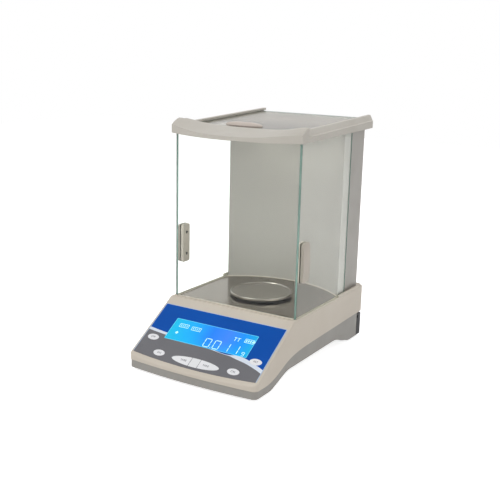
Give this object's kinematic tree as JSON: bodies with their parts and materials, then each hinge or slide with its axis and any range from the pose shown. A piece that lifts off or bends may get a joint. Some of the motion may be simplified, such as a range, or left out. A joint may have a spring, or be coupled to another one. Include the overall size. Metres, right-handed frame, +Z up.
{
  "type": "precision balance with draft shield",
  "caption": "Laboratory precision balance with a sloped keypad and lit display, a round steel pan and a glass draft shield with sliding side and top doors.",
  "frame": {"origin": "on the table, at the middle of the space that the balance takes up", "axes": "+Z up, +X to the right seen from the front, +Y to the rear"},
  "size_m": [0.2176, 0.35, 0.3578],
  "materials": {
    "cream_plastic": "fine-grained moulded plastic",
    "grey_plastic": "fine-grained moulded plastic",
    "wall_plastic": "smooth moulded plastic",
    "roof_plastic": "fine-grained moulded plastic",
    "grip_plastic": "smooth moulded plastic",
    "knob_plastic": "smooth moulded plastic",
    "dark_plastic": "grooved moulded plastic",
    "black_plastic": "smooth",
    "keypad_film": "printed film",
    "membrane": "plain film",
    "window_acrylic": "clear polished acrylic",
    "display_cell": "display cell glass",
    "light_box": "diffusing plastic",
    "circuit_board": "solder mask",
    "key_caps": "printed film key",
    "shield_glass": "clear float glass with polished edges",
    "deck_steel": "polished stainless steel",
    "pan_steel": "brushed stainless steel",
    "cell_aluminium": "machined",
    "cast_alloy": "die cast",
    "zinc_screws": "zinc plated",
    "black_screws": "black oxide",
    "port_metal": "tinned shell",
    "stud_steel": "turned and knurled",
    "foot_rubber": "soft rubber"
  },
  "bodies": {
    "balance": {"upper_case": "cream_plastic", "lower_case": "grey_plastic", "chassis_plate": "cast_alloy", "load_cell_riser": "cast_alloy", "load_cell": "cell_aluminium", "main_board": "circuit_board", "board_screws": "zinc_screws", "deck_plate": "deck_steel", "chamber_wall": "wall_plastic", "front_glass": "shield_glass", "roof_frame": "roof_plastic", "keypad_overlay": "keypad_film", "switch_membrane": "membrane", "display_window": "window_acrylic", "lcd_glass": "display_cell", "lcd_backlight": "light_box", "display_board": "circuit_board", "display_screws": "zinc_screws", "rear_panel": "dark_plastic", "serial_port": "port_metal", "power_jack": "black_plastic", "panel_screws": "black_screws", "case_screws": "zinc_screws", "front_left_foot": "foot_rubber", "front_right_foot": "foot_rubber"},
    "right_door": {"right_door_glass": "shield_glass", "right_grip": "grip_plastic", "right_grip_plate": "grip_plastic", "right_grip_screws": "black_screws"},
    "left_door": {"left_door_glass": "shield_glass", "left_grip": "grip_plastic", "left_grip_plate": "grip_plastic", "left_grip_screws": "black_screws"},
    "top_door": {"top_door_glass": "shield_glass", "top_door_knob": "knob_plastic"},
    "pan_support": {"pan_post": "cell_aluminium"},
    "pan": {"weighing_pan": "pan_steel", "pan_hub": "cell_aluminium"},
    "key_upper_left": {"key_upper_left": "key_caps"},
    "key_lower_left": {"key_lower_left": "key_caps"},
    "tare_key_left": {"tare_key_left": "key_caps"},
    "tare_key_right": {"tare_key_right": "key_caps"},
    "key_lower_right": {"key_lower_right": "key_caps"},
    "key_upper_right": {"key_upper_right": "key_caps"},
    "rear_left_pad": {"rear_left_pad": "foot_rubber"},
    "rear_left_wheel": {"rear_left_stud": "stud_steel"},
    "rear_right_pad": {"rear_right_pad": "foot_rubber"},
    "rear_right_wheel": {"rear_right_stud": "stud_steel"}
  },
  "joints": [
    {"name": "right_door_slide", "type": "slide", "parent": "balance", "child": "right_door", "axis": [0, 1, 0], "range_m": [0, 0.11]},
    {"name": "left_door_slide", "type": "slide", "parent": "balance", "child": "left_door", "axis": [0, 1, 0], "range_m": [0, 0.11]},
    {"name": "top_door_slide", "type": "slide", "parent": "balance", "child": "top_door", "axis": [0, 0.9991, 0.0419], "range_m": [0, 0.1]},
    {"name": "pan_load", "type": "slide", "parent": "balance", "child": "pan_support", "axis": [0, 0, -1], "range_m": [0, 0.0004], "stiffness_N_per_m": 8000, "springref_m": -0.0003},
    {"name": "pan_lift", "type": "slide", "parent": "pan_support", "child": "pan", "axis": [0, 0, 1], "range_m": [0, 0.03]},
    {"name": "key_upper_left_press", "type": "slide", "parent": "balance", "child": "key_upper_left", "axis": [0, 0.5289, -0.8487], "range_m": [0, 0.0004], "stiffness_N_per_m": 600, "springref_m": -0.0004},
    {"name": "key_lower_left_press", "type": "slide", "parent": "balance", "child": "key_lower_left", "axis": [0, 0.5289, -0.8487], "range_m": [0, 0.0004], "stiffness_N_per_m": 600, "springref_m": -0.0004},
    {"name": "tare_key_left_press", "type": "slide", "parent": "balance", "child": "tare_key_left", "axis": [0, 0.5289, -0.8487], "range_m": [0, 0.0004], "stiffness_N_per_m": 600, "springref_m": -0.0004},
    {"name": "tare_key_right_press", "type": "slide", "parent": "balance", "child": "tare_key_right", "axis": [0, 0.5289, -0.8487], "range_m": [0, 0.0004], "stiffness_N_per_m": 600, "springref_m": -0.0004},
    {"name": "key_lower_right_press", "type": "slide", "parent": "balance", "child": "key_lower_right", "axis": [0, 0.5289, -0.8487], "range_m": [0, 0.0004], "stiffness_N_per_m": 600, "springref_m": -0.0004},
    {"name": "key_upper_right_press", "type": "slide", "parent": "balance", "child": "key_upper_right", "axis": [0, 0.5289, -0.8487], "range_m": [0, 0.0004], "stiffness_N_per_m": 600, "springref_m": -0.0004},
    {"name": "rear_left_lift", "type": "slide", "parent": "balance", "child": "rear_left_pad", "axis": [0, 0, 1], "range_m": [-0.004, 0]},
    {"name": "rear_left_turn", "type": "hinge", "parent": "rear_left_pad", "child": "rear_left_wheel", "pos_m": [-0.089, 0.1267, 0.002], "axis": [0, 0, 1], "range_deg": [-2, 1445]},
    {"name": "rear_right_lift", "type": "slide", "parent": "balance", "child": "rear_right_pad", "axis": [0, 0, 1], "range_m": [-0.004, 0]},
    {"name": "rear_right_turn", "type": "hinge", "parent": "rear_right_pad", "child": "rear_right_wheel", "pos_m": [0.089, 0.1267, 0.002], "axis": [0, 0, 1], "range_deg": [-2, 1445]}
  ],
  "couplings": [
    {"joint": "rear_left_turn", "follows": "rear_left_lift", "rad_per_m": -6283.2},
    {"joint": "rear_right_turn", "follows": "rear_right_lift", "rad_per_m": -6283.2}
  ]
}
